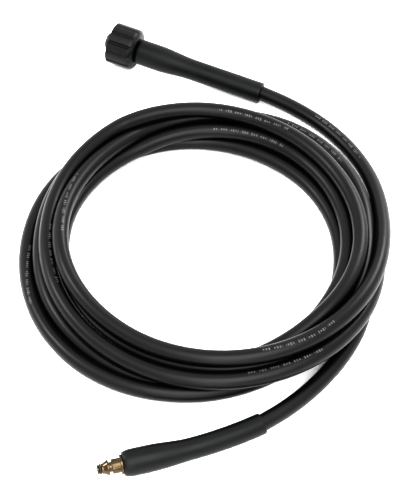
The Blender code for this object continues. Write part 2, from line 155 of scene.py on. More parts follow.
def shaded(name: str, values: Dict[str, Any]) -> Tuple[Material, Node]:
    """Makes a material with its shader's constant values set on the shader's own sockets.

    Args:
        name: The material's name.
        values: The shader's values by socket name.

    Returns:
        The material and its Principled shader.
    """
    material = bpy.data.materials.new(name)
    material.use_nodes = True
    shader = material.node_tree.nodes["Principled BSDF"]
    set_inputs(shader, values)
    return material, shader


def coat(shader: Node, colour: NodeSocket, drift: NodeSocket, sheen: Pair, relief: NodeSocket,
         strength: float, depth: float) -> None:
    """Gives a shader its colour, a sheen that drifts between two roughnesses, and a fine relief.

    Args:
        shader: The shader.
        colour: Its colour.
        drift: What the sheen follows.
        sheen: The two roughnesses.
        relief: The height of the relief.
        strength: How much of the relief shows.
        depth: How deep it goes.
    """
    rough = add_node(shader.id_data, "ShaderNodeMapRange", {"Value": drift, "From Min": 0.3, "From Max": 0.7,
                                                            "To Min": sheen[0], "To Max": sheen[1]})
    bump = add_node(shader.id_data, "ShaderNodeBump", {"Height": relief, "Strength": strength,
                                                       "Distance": depth})
    set_inputs(shader, {"Base Color": colour, "Roughness": rough, "Normal": bump})


# Finishes

@dataclass(frozen=True)
class HoseRubber:
    """Extruded black rubber cover: satin, with fine drawn lines along it and short worn lines of pale marks.

    The marks are plain ticks for the real hose's printed lines. Each line starts at a print place.
    """

    black: str = "0a0a0b"
    dusty: str = "121213"
    print_grey: str = "616260"
    ior: float = 1.33
    sheen: Pair = (0.33, 0.43)
    drawn_line: float = 0.9 * MM
    line_stretch: Triple = (6.0, 1.0, 1.0)
    blotch_stretch: Triple = (22.0, 0.8, 0.8)
    line_strength: float = 0.12
    line_depth: float = 0.15 * MM
    mark_pitch: float = 2.1 * MM
    mark_share: float = 0.55
    word_pitch: float = 9.0 * MM
    word_share: float = 0.72
    print_places: Tuple[float, ...] = (0.172, 0.44, 0.72, 0.995, 1.722, 2.868, 3.112, 3.388, 4.695)
    print_length: float = 64.0 * MM
    half_height: float = 1.25 * MM
    least_height: float = 0.45
    worn_patch: float = 11.11 * MM
    ink_left: Pair = (0.2, 0.8)
    girth: float = 13.0 * math.pi * MM

    def material(self) -> Material:
        """Builds the hose's material on its own UV map: metres along the hose, and turns round it.

        Returns:
            The material.
        """
        material, shader = shaded("extruded_epdm_hose", {"IOR": self.ior})
        tree = material.node_tree
        uv = add_node(tree, "ShaderNodeUVMap", uv_map="UVMap")
        along, around, _ = add_node(tree, "ShaderNodeSeparateXYZ", {0: uv}).node.outputs
        angle = maths(tree, "MULTIPLY", around, TURN)
        wrapped = add_node(tree, "ShaderNodeCombineXYZ", {0: along, 1: maths(tree, "COSINE", angle),
                                                          2: maths(tree, "SINE", angle)})
        lines_place, blotch_place = [
            add_node(tree, "ShaderNodeVectorMath", {0: wrapped, 1: stretch}, operation="MULTIPLY")
            for stretch in (self.line_stretch, self.blotch_stretch)]
        lines = noise(tree, lines_place, self.girth / TURN / self.drawn_line)
        blotch = noise(tree, blotch_place, 1.0, 4.0)
        tone = mixed(tree, blotch, linear(self.black), linear(self.dusty))
        colour = mixed(tree, self._marks(tree, along, around), tone, linear(self.print_grey))
        coat(shader, colour, blotch, self.sheen, lines, self.line_strength, self.line_depth)
        return material

    def _marks(self, tree: NodeTree, along: NodeSocket, around: NodeSocket) -> NodeSocket:
        """Draws the printed line as plain ticks of uneven height, in groups with gaps. It holds no letters.

        Args:
            tree: The material's nodes.
            along: Metres along the hose.
            around: Turns round the hose, with the printed line at a half.

        Returns:
            How much of the print's grey shows, from 0 to 1.
        """
        step = maths(tree, "DIVIDE", along, self.mark_pitch)
        tick = maths(tree, "LESS_THAN", maths(tree, "FRACT", step), self.mark_share)
        number = maths(tree, "FLOOR", step)
        chance = add_node(tree, "ShaderNodeTexWhiteNoise", {"W": number}, noise_dimensions="1D")
        full_height = self.half_height / self.girth
        height = add_node(tree, "ShaderNodeMapRange", {"Value": chance, "To Max": full_height,
                                                       "To Min": self.least_height * full_height})
        off_line = maths(tree, "ABSOLUTE", maths(tree, "SUBTRACT", around, 0.5))
        band = maths(tree, "LESS_THAN", off_line, height)
        word = maths(tree, "DIVIDE", along, self.word_pitch)
        grouped = maths(tree, "LESS_THAN", maths(tree, "FRACT", word), self.word_share)
        half_line = self.print_length / 2
        near_print: Any = 0.0
        for place in self.print_places:
            inside = maths(tree, "COMPARE", along, place + half_line, half_line)
            near_print = maths(tree, "ADD", near_print, inside)
        wear_place = add_node(tree, "ShaderNodeCombineXYZ", {0: along, 1: around})
        wear = noise(tree, wear_place, 1 / self.worn_patch, 3.0)
        mask = add_node(tree, "ShaderNodeMapRange", {"Value": wear, "From Min": 0.3, "From Max": 0.65,
                                                     "To Min": self.ink_left[0], "To Max": self.ink_left[1]})
        for share in (tick, band, grouped, near_print):
            mask = maths(tree, "MULTIPLY", mask, share)
        return mask


@dataclass(frozen=True)
class Grained:
    """An even surface, moulded or plated: two close tones in slow drifts, with a fine even texture."""

    name: str
    dark: str
    pale: str
    roughness: float
    texture: float
    depth: float
    ior: float = 1.5
    metallic: float = 0.0
    drift: float = 22.22 * MM
    spread: float = 0.05
    strength: float = 0.35

    def material(self) -> Material:
        """Builds the surface's material on Object coordinates.

        Returns:
            The material.
        """
        material, shader = shaded(self.name, {"IOR": self.ior, "Metallic": self.metallic})
        tree = material.node_tree
        place = add_node(tree, "ShaderNodeTexCoord", take="Object")
        grain = noise(tree, place, 1 / self.texture, 3.0)
        flow = noise(tree, place, 1 / self.drift, 4.0)
        tone = mixed(tree, flow, linear(self.dark), linear(self.pale))
        sheen = (self.roughness - self.spread, self.roughness + self.spread)
        coat(shader, tone, flow, sheen, grain, self.strength, self.depth)
        return material


@dataclass(frozen=True)
class TurnedMetal:
    """A bare metal turned on a lathe: rings of tool marks, bright where the tool left it smooth.

    Behind a set height it is painted near black, as painted shade where the metal lies deep inside other parts.
    """

    name: str
    bright: str
    dull: str
    roughness: float
    # painted shade: the height behind which the metal is painted near black, that colour, and the width of its
    # fade
    painted_shade_from: float = -1.0
    painted_shade_colour: str = "14110d"
    painted_shade_edge: float = 1.0 * MM
    tool_pitch: float = 0.35 * MM
    tool_depth: float = 0.03 * MM
    tool_strength: float = 0.25
    tarnish_spot: float = 3.846 * MM
    smoother: float = 0.06
    rougher: float = 0.1

    def material(self) -> Material:
        """Builds the metal's material on the piece's own UV map: metres along its axis, and metres from it.

        Returns:
            The material.
        """
        material, shader = shaded(self.name, {"Metallic": 1.0})
        tree = material.node_tree
        uv = add_node(tree, "ShaderNodeUVMap", uv_map="UVMap")
        height, radius, _ = add_node(tree, "ShaderNodeSeparateXYZ", {0: uv}).node.outputs
        run = maths(tree, "ADD", height, radius)
        rings = add_node(tree, "ShaderNodeTexNoise", {"W": run, "Scale": 1 / self.tool_pitch, "Detail": 2.0},
                         noise_dimensions="1D")
        place = add_node(tree, "ShaderNodeTexCoord", take="Object")
        tarnish = noise(tree, place, 1 / self.tarnish_spot, 3.0)
        tone = mixed(tree, tarnish, linear(self.bright), linear(self.dull))
        # painted shade: behind the set height the colour fades to near black
        out_of_painted_shade = add_node(tree, "ShaderNodeMapRange", {"Value": height, "From Min": self.painted_shade_from,
                                                      "From Max": self.painted_shade_from + self.painted_shade_edge})
        colour = mixed(tree, out_of_painted_shade, linear(self.painted_shade_colour), tone)
        sheen = (self.roughness - self.smoother, self.roughness + self.rougher)
        coat(shader, colour, rings, sheen, rings, self.tool_strength, self.tool_depth)
        return material


# Dull black with a soft sheen, as a moulded rubber bend protector has
SLEEVE_RUBBER = Grained("moulded_sbr_sleeve", "0a0b0b", "111212", 0.43, 0.5 * MM, 0.04 * MM, 1.31)
# Slightly greyer and grained, as a nylon nut has
NUT_PLASTIC = Grained("moulded_nylon_nut", "0e0e0f", "161617", 0.42, 0.6 * MM, 0.05 * MM, 1.31)
# Deep black and smoother, as a greased nitrile ring has
SEAL_RUBBER = Grained("nitrile_seal", "0c0c0c", "141414", 0.28, 0.4 * MM, 0.01 * MM)
# Warm yellow with brown and olive reflections, as bare turned brass has
BRASS = TurnedMetal("turned_brass", "625747", "2b251d", 0.15)
# Paler than the plug's brass as a painted highlight on the nipple, and painted near black behind its collar as
# painted shade in the gap inside the nut
PAINTED_LIGHT_BRASS = TurnedMetal("turned_brass_painted_light", "cac5b8", "9c9482", 0.2, painted_shade_from=-8 * MM)
# Pale grey with a soft sheen, as zinc-plated steel has
ZINC_STEEL = Grained("zinc_plated_steel", "a3a5a8", "c4c6c8", 0.34, 0.3 * MM, 0.01 * MM, metallic=1.0)


# Mesh helpers

@dataclass(frozen=True)
class Ring:
    """One round section of a swept shape: its middle, its half-widths as vectors, and its run along it."""

    centre: Vector
    right: Vector
    up: Vector
    along: float

    def point(self, turn: float) -> Vector:
        """The place on the ring a share of a turn round from its right side."""
        return self.centre + self.right * math.cos(TURN * turn) + self.up * math.sin(TURN * turn)


def swept(rings: Sequence[Ring], sides: int) -> BMesh:
    """Rolls a grid into a tube through the rings and closes what is left open at its ends.

    Args:
        rings: The sections, first to last. If the last is the first one again, the shape joins up there.
        sides: The number of sides of each section.

    Returns:
        The closed shape, with a UV map of the run along it and the turns round it.
    """
    shape = bmesh.new()
    bmesh.ops.create_grid(shape, x_segments=len(rings) - 1, y_segments=sides, size=0.5)
    uv = shape.loops.layers.uv.new("UVMap")
    cells = {vertex: (round((vertex.co.x + 0.5) * (len(rings) - 1)), round((vertex.co.y + 0.5) * sides))
             for vertex in shape.verts}
    for vertex, (number, side) in cells.items():
        vertex.co = rings[number].point(side / sides)
    for face in shape.faces:
        for loop in face.loops:
            number, side = cells[loop.vert]
            loop[uv].uv = (rings[number].along, side / sides)
    bmesh.ops.remove_doubles(shape, verts=shape.verts, dist=MERGE)
    bmesh.ops.holes_fill(shape, edges=[edge for edge in shape.edges if edge.is_boundary], sides=0)
    bmesh.ops.recalc_face_normals(shape, faces=shape.faces)
    return shape


def turned(profile: Profile, steps: int, round_off: float = 0.0) -> BMesh:
    """Turns a closed profile about Z, and rounds its sharp edges off.

    Args:
        profile: Radius and height of each corner.
        steps: The number of steps of the turn.
        round_off: The width of the rounding at each sharp edge.

    Returns:
        The closed shape, with a UV map of its height and its distance from the axis.
    """
    shape = bmesh.new()
    corners = [shape.verts.new((radius, 0.0, height)) for radius, height in profile]
    for first, second in zip(corners, corners[1:] + corners[:1]):
        shape.edges.new((first, second))
    bmesh.ops.spin(shape, geom=shape.verts[:] + shape.edges[:], axis=(0.0, 0.0, 1.0), cent=(0.0, 0.0, 0.0),
                   angle=TURN, steps=steps, use_merge=True, use_duplicate=False)
    bmesh.ops.remove_doubles(shape, verts=shape.verts, dist=MERGE)
    bmesh.ops.recalc_face_normals(shape, faces=shape.faces)
    if round_off:
        sharp = [edge for edge in shape.edges if edge.calc_face_angle(0.0) > BEVELLED_FROM]
        bmesh.ops.bevel(shape, geom=sharp, offset=round_off, affect="EDGES", segments=2, profile=0.5,
                        material=-1, clamp_overlap=True)
    axial_uv(shape)
    return shape


def axial_uv(shape: BMesh) -> None:
    """Gives a shape about Z a UV map of each point's height and its distance from the axis."""
    uv = shape.loops.layers.uv.new("UVMap")
    for face in shape.faces:
        for loop in face.loops:
            place = loop.vert.co
            loop[uv].uv = (place.z, math.hypot(place.x, place.y))


def in_scene(name: str, data: Any) -> Object:
    """Makes an object of a mesh, a camera or a lamp, and puts it into the scene."""
    thing = bpy.data.objects.new(name, data)
    bpy.context.scene.collection.objects.link(thing)
    return thing


@dataclass(frozen=True)
class Dress:
    """How a new piece belongs to the model: its body, material slot and the nodes that it stands for."""

    body: Body
    slot: Slot
    nodes: Tuple[str, ...]


def piece_from(name: str, shape: BMesh, material: Material, dress: Dress,
               place: Optional[Matrix] = None) -> Object:
    """Makes a finished piece from a shape, with its place in its mesh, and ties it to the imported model.

    Args:
        name: The piece's name.
        shape: The shape, which is used up.
        material: Its material.
        dress: How it belongs to the model.
        place: Where the shape goes, if it isn't there yet.

    Returns:
        The new object.
    """
    if place is not None:
        bmesh.ops.transform(shape, matrix=place, verts=shape.verts)
    mesh = bpy.data.meshes.new(name)
    shape.to_mesh(mesh)
    shape.free()
    mesh.materials.append(material)
    mesh.shade_smooth()
    mesh.set_sharp_from_angle(angle=SHARP_FROM)
    thing = in_scene(name, mesh)
    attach(thing, dress.body.value)
    if dress.nodes:
        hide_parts(*dress.nodes)
    LOG.info("%s: %d faces", name, len(mesh.polygons))
    return thing


# The axes of the two end fittings

@dataclass(frozen=True)
class EndAxis:
    """The axis of an end fitting: straight, then bent to the left of the way into the hose."""

    origin: Vector
    outwards: Vector
    bend_start: float = math.inf
    bend_radius: float = 1.0

    @property
    def matrix(self) -> Matrix:
        """The placement of a shape made along Z, with +Z pointing out of the hose."""
        right = Vector((0.0, 0.0, 1.0)).cross(self.outwards).normalized()
        placed = Matrix((right, self.outwards.cross(right), self.outwards)).transposed().to_4x4()
        placed.translation = self.origin
        return placed

    def turn_at(self, depth: float) -> float:
        """The angle that the axis has bent through, a depth into the hose."""
        return max(0.0, depth - self.bend_start) / self.bend_radius

    def ring(self, depth: float, radius: float, along: Optional[float] = None) -> Ring:
        """A round section about the axis.

        Args:
            depth: How deep into the hose it lies.
            radius: Its radius.
            along: Its run along the pattern, or None for its depth.

        Returns:
            The section.
        """
        angle = self.turn_at(depth)
        if angle:
            local = Vector((self.bend_radius * (math.cos(angle) - 1), 0.0,
                            -self.bend_start - self.bend_radius * math.sin(angle)))
        else:
            local = Vector((0.0, 0.0, -depth))
        placed = self.matrix
        turn = placed.to_3x3()
        return Ring(placed @ local, turn @ Vector((math.cos(angle), 0.0, -math.sin(angle))) * radius,
                    turn @ Vector((0.0, radius, 0.0)), depth if along is None else along)


def quarter(steps: int) -> List[float]:
    """The angles of a quarter turn's steps, without the first."""
    return [math.pi / 2 * k / steps for k in range(1, steps + 1)]


def unit(direction: Sequence[float]) -> Vector:
    """The direction as a vector of length 1."""
    return Vector(direction).normalized()


def tip_on_axis(node: str, outwards: Vector, face_depth: float = 0.02 * MM) -> Vector:
    """Finds the middle of the end face of a turned node.

    Args:
        node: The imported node's name.
        outwards: The way its axis points.
        face_depth: How far below the very end a corner may lie and still belong to the face.

    Returns:
        The place on its axis at its very end.
    """
    places = {tuple(round(c, 6) for c in vertex.co) for vertex in frame["nodes"][node].data.vertices}
    heights = [(Vector(place).dot(outwards), Vector(place)) for place in places]
    end = max(height for height, _ in heights) - face_depth
    face = [place for height, place in heights if height > end]
    return sum(face, Vector()) / len(face)


# The hose

def run_along(line: np.ndarray) -> np.ndarray:
    """How far along a line each of its places lies."""
    return np.r_[0, np.cumsum(np.linalg.norm(np.diff(line, axis=0), axis=1))]


@dataclass
class HoseRoute:
    """How the hose lies: six to seven loose turns, then each free tail in line with its fitting.

    The turns are given clockwise from above, as a radius in mm and a layer of hose that it lies on, at every
    bearing step from a first bearing. They are read from the photo where the hose shows, chosen elsewhere.
    The strands are then let down onto each other, giving way mostly along the line of sight, so that they
    stay where they show.
    """

    eye: Vector
    diameter: float = 13.0
    centre: Pair = (0.0, -10.5)
    first_bearing: float = 30.0
    bearing_step: float = 30.0
    layer_height: float = 11.3
    spacing: float = 6.5
    ring_spacing: float = 3.4
    turns: Tuple[Pairs, ...] = (
        ((158, 0.1), (141.5, 1.0), (143, 1.9), (137, 1.7), (125, 1.3), (117, 1.3),
         (115.5, 2.1), (111.5, 2.1), (110, 1.8), (115.5, 1.4), (131, 0.8), (147, 0.1)),
        ((144, 0.1), (136, 0.3), (136.5, 0.8), (133.5, 0.4), (123, 0.0), (120, 0.2),
         (117, 0.6), (111, 1.0), (109, 0.7), (110, 0.8), (114.5, 1.0), (117, 1.0)),
        ((117, 1.0), (118.5, 1.0), (121.5, 1.0), (126, 0.1), (141, 0.0), (140, 0.1),
         (134.5, 0.4), (127, 0.5), (131, 0.3), (135.5, 0.1), (136.5, 0.0), (135.5, 0.0)),
        ((133.5, 0.0), (135.5, 0.1), (142.5, 0.7), (147.5, 1.1), (145, 1.1), (136, 1.1),
         (128, 1.6), (121, 1.6), (122, 1.7), (126.5, 1.6), (131.5, 1.4), (128.5, 1.3)),
        ((127.5, 1.1), (129.5, 1.1), (131, 0.9), (126, 0.2), (133, 0.0), (131.5, 0.0),
         (125.5, 0.0), (120, 0.0), (118, 0.0), (116, 0.0), (112, 0.0), (108.5, 0.0)),
        ((109.5, 0.0), (111.5, 0.0), (116, 0.0), (132.5, 0.0), (145, 0.0), (150.5, 0.0),
         (145, 0.0), (139, 0.0), (138, 0.0), (133, 0.0), (125, 0.0), (116, 0.0)),
        ((122.5, 0.0), (133, 0.0), (148.5, 0.0)),
    )
    nut_tail: Pairs = ((76.6, 144.5), (93.5, 130.9), (110.4, 114.3))
    plug_tail: Pairs = ((101.4, -131.5), (85.6, -150.4), (70.6, -164.5), (60.2, -172.3))
    smoothing: float = 4.0
    unsmoothed_at_nut: float = 95.0
    unsmoothed_at_plug: float = 80.0
    smoothing_ramp: float = 40.0
    axis_samples: int = 12
    held_at_nut: float = 120.0
    held_at_plug: float = 105.0
    near_share: float = 2.2
    longest_push: float = 2.0
    push_share: float = 0.9
    curve_samples: int = 6

    def stations(self) -> np.ndarray:
        """Lists the route's chosen places.

        Returns:
            Bearing in degrees, radius in mm and layer of each, from the nut's tail to the plug's.
        """
        rows = [(*self._polar(place), 0.0) for place in self.nut_tail]
        number = 0
        for turn in self.turns:
            for radius, layer in turn:
                rows.append((self.first_bearing - self.bearing_step * number, radius, layer))
                number += 1
        wound = -360.0 * (len(self.turns) - 1)
        for place in self.plug_tail:
            bearing, radius = self._polar(place)
            rows.append((bearing + wound, radius, 0.0))
        return np.array(rows)

    def _polar(self, place: Pair) -> Pair:
        """The bearing in degrees and radius of a place about the coil's middle."""
        x, y = place[0] - self.centre[0], place[1] - self.centre[1]
        return math.degrees(math.atan2(y, x)), math.hypot(x, y)

    def chain(self, nut_axis: EndAxis, nut_depths: Pair, plug_axis: EndAxis,
              plug_depths: Pair) -> np.ndarray:
        """Joins the two fittings' axes and the turns into one smooth line.

        Args:
            nut_axis: The nut end's axis.
            nut_depths: Where the hose starts and its sleeve ends along it, in metres.
            plug_axis: The plug end's axis.
            plug_depths: The same along it.

        Returns:
            Evenly spaced places in mm.
        """
        rows = self.stations()[::-1]
        fine = np.arange(rows[-1, 0], rows[0, 0], -1.0)
        radius = np.interp(fine, rows[:, 0], rows[:, 1])
        layer = np.interp(fine, rows[:, 0], rows[:, 2])
        angle = np.radians(fine)
        turns = np.stack([self.centre[0] + radius * np.cos(angle), self.centre[1] + radius * np.sin(angle),
                          self.diameter / 2 + self.layer_height * layer], 1)
        ends = [np.array([axis.ring(depth, 0.0).centre / MM
                          for depth in np.linspace(*depths, self.axis_samples)])
                for axis, depths in ((nut_axis, nut_depths), (plug_axis, plug_depths))]
        line = np.vstack([self._even(ends[0], self.spacing), self._even(turns, self.spacing)[1:-1],
                          self._even(ends[1][::-1], self.spacing)])
        line = self._even(line, self.spacing)
        run = np.arange(len(line)) * self.spacing
        past_ends = np.minimum(run - self.unsmoothed_at_nut, run[-1] - run - self.unsmoothed_at_plug)
        free = np.clip(past_ends / self.smoothing_ramp, 0, 1)[:, None]
        east, north = line[:, 0] - self.centre[0], line[:, 1] - self.centre[1]
        polar = np.stack([np.unwrap(np.arctan2(north, east)), np.hypot(east, north), line[:, 2]], 1)
        polar += (self._blurred(polar, self.smoothing) - polar) * free
        return np.stack([self.centre[0] + polar[:, 1] * np.cos(polar[:, 0]),
                         self.centre[1] + polar[:, 1] * np.sin(polar[:, 0]), polar[:, 2]], 1)

    @staticmethod
    def _even(line: np.ndarray, spacing: float) -> np.ndarray:
        """The same line with its points evenly spaced."""
        run = run_along(line)
        goals = np.linspace(0, run[-1], int(round(run[-1] / spacing)) + 1)
        return np.stack([np.interp(goals, run, line[:, k]) for k in range(line.shape[1])], 1)

    @staticmethod
    def _blurred(rows: np.ndarray, width: float) -> np.ndarray:
        """The rows averaged with their neighbours by a bell curve of the given width in points."""
        reach = math.ceil(3 * width)
        bell = np.exp(-0.5 * (np.arange(-reach, reach + 1) / width) ** 2)
        bell /= bell.sum()
        padded = np.vstack([np.repeat(rows[:1], reach, 0), rows, np.repeat(rows[-1:], reach, 0)])
        return np.stack([np.convolve(padded[:, k], bell, "valid") for k in range(rows.shape[1])], 1)

    def settled(self, start: np.ndarray, rounds: int = 260, last_rounds: float = 0.8,
                clearance: float = 0.05, weight: float = 0.05, last_weight: float = 0.015,
                pull: float = 0.02, side: float = 0.2, stiffness: float = 3.0, own_reach: int = 9,
                look_again: int = 4, pushes: int = 3) -> np.ndarray:
        """Lets the hose down, with its strands pushing each other apart where they touch.

        Args:
            start: The line to start from, in mm.
            rounds: How many rounds to take.
            last_rounds: The share of the rounds after which the hose is let down more gently.
            clearance: What two touching strands keep between them.
            weight: How far a round lets the hose down along the line of sight.
            last_weight: The same in the last rounds.
            pull: How much of its drift across the line of sight a round takes back.
            side: How readily a strand gives way across the line of sight, next to 1 along it.
            stiffness: How many points a push spreads over.
            own_reach: How many points apart two places are before they count as different strands.
            look_again: After how many rounds the pairs that may touch are found anew.
            pushes: How many times a round pushes the strands apart.

        Returns:
            The settled line.
        """
        line = start.copy()
        sight = np.array(self.eye) - start
        sight /= np.linalg.norm(sight, axis=1, keepdims=True)
        apart = self.diameter + clearance
        run = np.arange(len(line)) * self.spacing
        free = ((run >= self.held_at_nut) & (run <= run[-1] - self.held_at_plug)).astype(float)[:, None]
        first, second = np.triu_indices(len(line), own_reach)
        close_a, close_b = first, second
        for number in range(rounds):
            line -= (last_weight if number > last_rounds * rounds else weight) * sight * free
            if number % look_again == 0:
                near = np.abs(line[first, :2] - line[second, :2]).max(axis=1) < self.near_share * apart
                close_a, close_b = first[near], second[near]
            for _ in range(pushes):
                line += self._pushed(line, sight, close_a, close_b, apart, side) * free
                line = self._lifted(line, sight)
            drift = line - start
            drift += (self._blurred(drift, stiffness) - drift) * 0.5 * free
            across = drift - (drift * sight).sum(axis=1, keepdims=True) * sight
            line = self._lifted(start + drift - pull * across * free, sight)
        return line

    def _lifted(self, line: np.ndarray, sight: np.ndarray) -> np.ndarray:
        """The line with what is under the floor brought up to it along the line of sight."""
        low = np.maximum(self.diameter / 2 - line[:, 2], 0)
        return line + (low / sight[:, 2])[:, None] * sight

    def _pushed(self, line: np.ndarray, sight: np.ndarray, first: np.ndarray, second: np.ndarray,
                apart: float, side: float) -> np.ndarray:
        """How far each place moves to clear the strands that it touches.

        Args:
            line: The places.
            sight: Each place's direction to the eye.
            first: The number of one place of each pair that may touch.
            second: The number of the other.
            apart: How far apart the two belong.
            side: How readily they give way across the line of sight.

        Returns:
            Each place's move.
        """
        between = line[first] - line[second]
        length = np.linalg.norm(between, axis=1)
        touching = length < apart
        a, b, length = first[touching], second[touching], length[touching]
        way = between[touching] / np.maximum(length, 1e-6)[:, None]
        ray = sight[a]
        along = (way * ray).sum(axis=1)
        give = side * way + ((1 - side) * along)[:, None] * ray
        push = give * ((apart - length) * 0.5 / (side + (1 - side) * along ** 2))[:, None]
        push *= np.minimum(1, self.longest_push / np.maximum(np.linalg.norm(push, axis=1), 1e-9))[:, None]
        move = np.zeros_like(line)
        count = np.zeros(len(line))
        np.add.at(move, a, push)
        np.add.at(move, b, -push)
        np.add.at(count, a, 1)
        np.add.at(count, b, 1)
        return self.push_share * move / np.maximum(count, 1)[:, None]

    def smooth_line(self, line: np.ndarray) -> np.ndarray:
        """Reads a fine smooth curve through the settled places.

        Args:
            line: The settled places in mm.

        Returns:
            Ring centres in metres.
        """
        ends = np.vstack([2 * line[0] - line[1], line, 2 * line[-1] - line[-2]])
        share = np.linspace(0, 1, self.curve_samples, endpoint=False)[:, None]
        rows = [0.5 * (2 * b + (c - a) * share + (2 * a - 5 * b + 4 * c - d) * share ** 2
                       + (3 * b - a - 3 * c + d) * share ** 3)
                for a, b, c, d in zip(ends, ends[1:], ends[2:], ends[3:])]
        return self._even(np.vstack(rows + [line[-1:]]), self.ring_spacing) * MM


@dataclass
class Hose:
    """The hose itself: one rubber tube from ferrule to ferrule, bored where a fitting is pushed in."""

    nut_axis: EndAxis
    plug_axis: EndAxis
    route: HoseRoute
    diameter: float = 13.0 * MM
    bore: float = 6.4 * MM
    bore_depth: float = 24.6 * MM
    nut_depths: Pair = (28.8 * MM, 144.0 * MM)
    plug_depths: Pair = (2.8 * MM, 107.0 * MM)
    sides: int = 28
    rolls: Pairs = (
        (0.0, 5.0), (0.2, 5.0), (0.4, 15.0), (0.46, -20.0), (0.52, 10.0), (0.73, 20.0), (0.78, -15.0),
        (1.03, 8.0),
        (1.7, 31.0), (1.77, 29.0), (2.82, -40.0), (2.88, -3.0), (2.91, 10.0), (3.11, 22.0), (3.17, 28.0),
        (3.38, 33.0), (3.43, 28.0), (3.46, 0.0), (4.7, -27.0), (4.76, 28.0))

    def build(self, material: Material, with_pieces: Sequence[Object]) -> Object:
        """Args:
            material: The hose's rubber.
            with_pieces: The pieces on the hose. Not used.

        Returns:
            The hose.
        """
        start = self.route.chain(self.nut_axis, self.nut_depths, self.plug_axis, self.plug_depths)
        path = self.route.smooth_line(self.route.settled(start))
        dress = Dress(Body.HOSE, Slot.HOSE_RUBBER, ("hose_coil", "hose_tail_nut", "hose_tail_plug"))
        hose = piece_from("pressure_hose", swept(self._rings(path), self.sides), material, dress)
        return hose

    def _rings(self, path: np.ndarray) -> List[Ring]:
        """Works out the tube's sections, from the bottom of one bore to the bottom of the other.

        Args:
            path: The hose's centres.

        Returns:
            The sections, each rolled so that the printed line keeps to the side that it lies on.
        """
        run = run_along(path)
        ways = np.gradient(path, axis=0)
        roll = np.radians(np.interp(run, *zip(*self.rolls)))
        radius = self.diameter / 2
        rings = []
        for place, way, turn, along in zip(path, ways, roll, run):
            forward = Vector(way).normalized()
            right = forward.cross(Vector((0.0, 0.0, 1.0))).normalized()
            up = right.cross(forward)
            below = -math.cos(turn) * up - math.sin(turn) * right
            beside = math.cos(turn) * right - math.sin(turn) * up
            rings.append(Ring(Vector(place), below * radius, beside * radius, float(along)))
        share = self.bore / self.diameter
        last_in = int(np.searchsorted(run, self.bore_depth))
        first_out = int(np.searchsorted(run, run[-1] - self.bore_depth)) - 1
        mouth_in = [self._narrowed(ring, share) for ring in rings[:last_in + 1]][::-1]
        mouth_out = [self._narrowed(ring, share) for ring in rings[first_out:]][::-1]
        return mouth_in + rings + mouth_out

    @staticmethod
    def _narrowed(ring: Ring, share: float) -> Ring:
        """The same section at a share of its radius."""
        return Ring(ring.centre, ring.right * share, ring.up * share, ring.along)


# The end fittings

@dataclass
class Sleeve:
    """A moulded rubber bend protector: rounded nose, wide grip over the ferrule, taper and slim tail."""

    name: str
    node: str
    axis: EndAxis
    front: float
    length: float
    nose: float
    nose_diameter: float
    diameter: float
    tail_diameter: float
    lip_bore: float
    ferrule_wall: float
    shoulder: float = 17.5 * MM
    taper: float = 36.0 * MM
    lip: float = 2.2 * MM
    hose_diameter: float = 13.0 * MM
    ferrule_length: float = 25.0 * MM
    edge: float = 0.7 * MM
    sides: int = 64
    step: float = 2.5 * MM
    nose_steps: int = 7
    edge_steps: int = 5
    bore_steps: int = 30

    def outside_radius(self, depth: float) -> float:
        """The sleeve's outer radius, a depth behind its front face.

        Args:
            depth: The distance from the front face.

        Returns:
            The radius.
        """
        grip, slim, nose = self.diameter / 2, self.tail_diameter / 2, self.nose_diameter / 2
        if depth < self.nose:
            return nose + (grip - nose) * math.sqrt(1 - (1 - depth / self.nose) ** 2)
        if depth < self.shoulder:
            return grip
        if depth < self.shoulder + self.taper:
            share = (depth - self.shoulder) / self.taper
            return grip + (slim - grip) * (1 - math.cos(math.pi * share)) / 2
        past_edge = depth - (self.length - self.edge)
        if past_edge > 0:
            return slim - self.edge + math.sqrt(max(0.0, self.edge ** 2 - past_edge ** 2))
        return slim

    def build(self, material: Material) -> Object:
        """Sweeps the sleeve's outside and then its inside along its axis.

        Args:
            material: The sleeve's rubber.

        Returns:
            The sleeve.
        """
        nose = np.linspace(0, math.pi / 2, self.nose_steps)
        edge = np.linspace(0, math.pi / 2, self.edge_steps)
        nose_depths = (self.nose * (1 - np.cos(nose))).tolist()
        middle = np.arange(self.nose + self.step, self.length - self.edge, self.step).tolist()
        edge_depths = (self.length - self.edge + self.edge * np.sin(edge)).tolist()
        outside = [(depth, self.outside_radius(depth)) for depth in nose_depths + middle + edge_depths]
        hose_bore = self.hose_diameter / 2 + GAP
        pocket = hose_bore + self.ferrule_wall + GAP
        pocket_back = self.lip + 3 * GAP + self.ferrule_length
        bore_depths = np.linspace(self.length, pocket_back, self.bore_steps).tolist()
        inside = [(depth, hose_bore) for depth in bore_depths]
        lip_radius = self.lip_bore / 2
        inside += [(pocket_back, pocket), (self.lip, pocket), (self.lip, lip_radius), (0.0, lip_radius)]
        rings = [self.axis.ring(self.front + depth, radius, depth) for depth, radius in outside + inside]
        return piece_from(self.name, swept(rings + [rings[0]], self.sides), material,
                          Dress(Body.HOSE, Slot.SLEEVE_RUBBER, (self.node,)))


